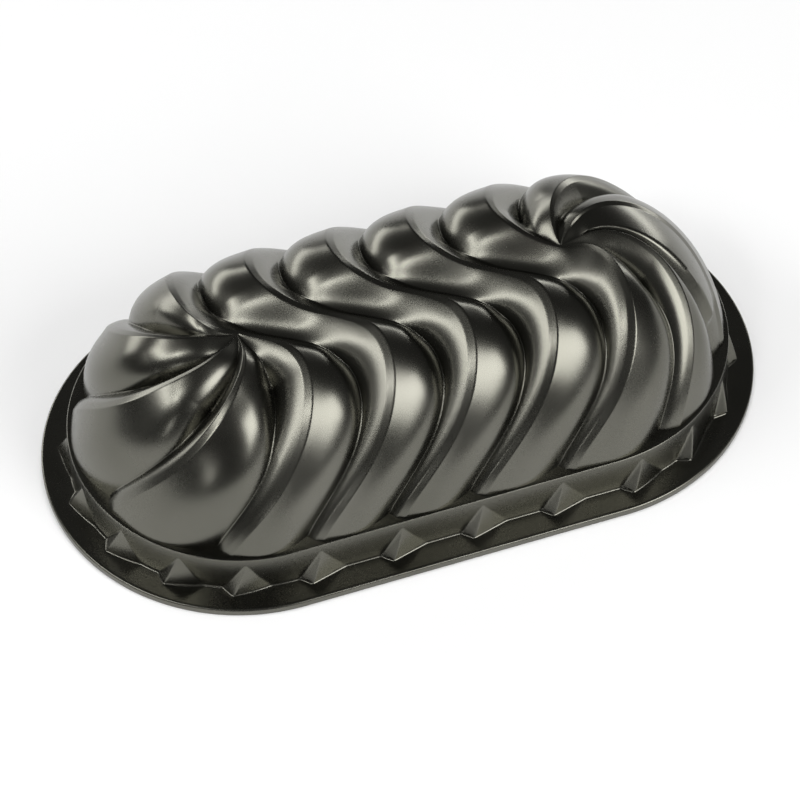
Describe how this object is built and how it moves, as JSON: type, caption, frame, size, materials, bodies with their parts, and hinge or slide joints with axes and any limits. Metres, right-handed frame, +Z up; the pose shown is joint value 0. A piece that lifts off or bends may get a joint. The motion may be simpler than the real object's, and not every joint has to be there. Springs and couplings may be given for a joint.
{
  "type": "bundt pan",
  "caption": "Fluted loaf bundt pan: one cast shell with swirling ridges, a toothed border and a flat oval rim, lined inside.",
  "frame": {"origin": "middle of the rim face the pan stands on", "axes": "+X along the long side of the pan, +Z up from the rim face to the top of the dome (the pan stands upside down)"},
  "size_m": [0.2834, 0.1544, 0.0764],
  "materials": {
    "cast_shell": "cast aluminium with a dark graphite coating, fine grain, semi-gloss",
    "nonstick_lining": "dark nonstick coating, satin"
  },
  "bodies": {
    "root": {"cast_shell": "cast_shell", "nonstick_lining": "nonstick_lining"}
  },
  "joints": []
}
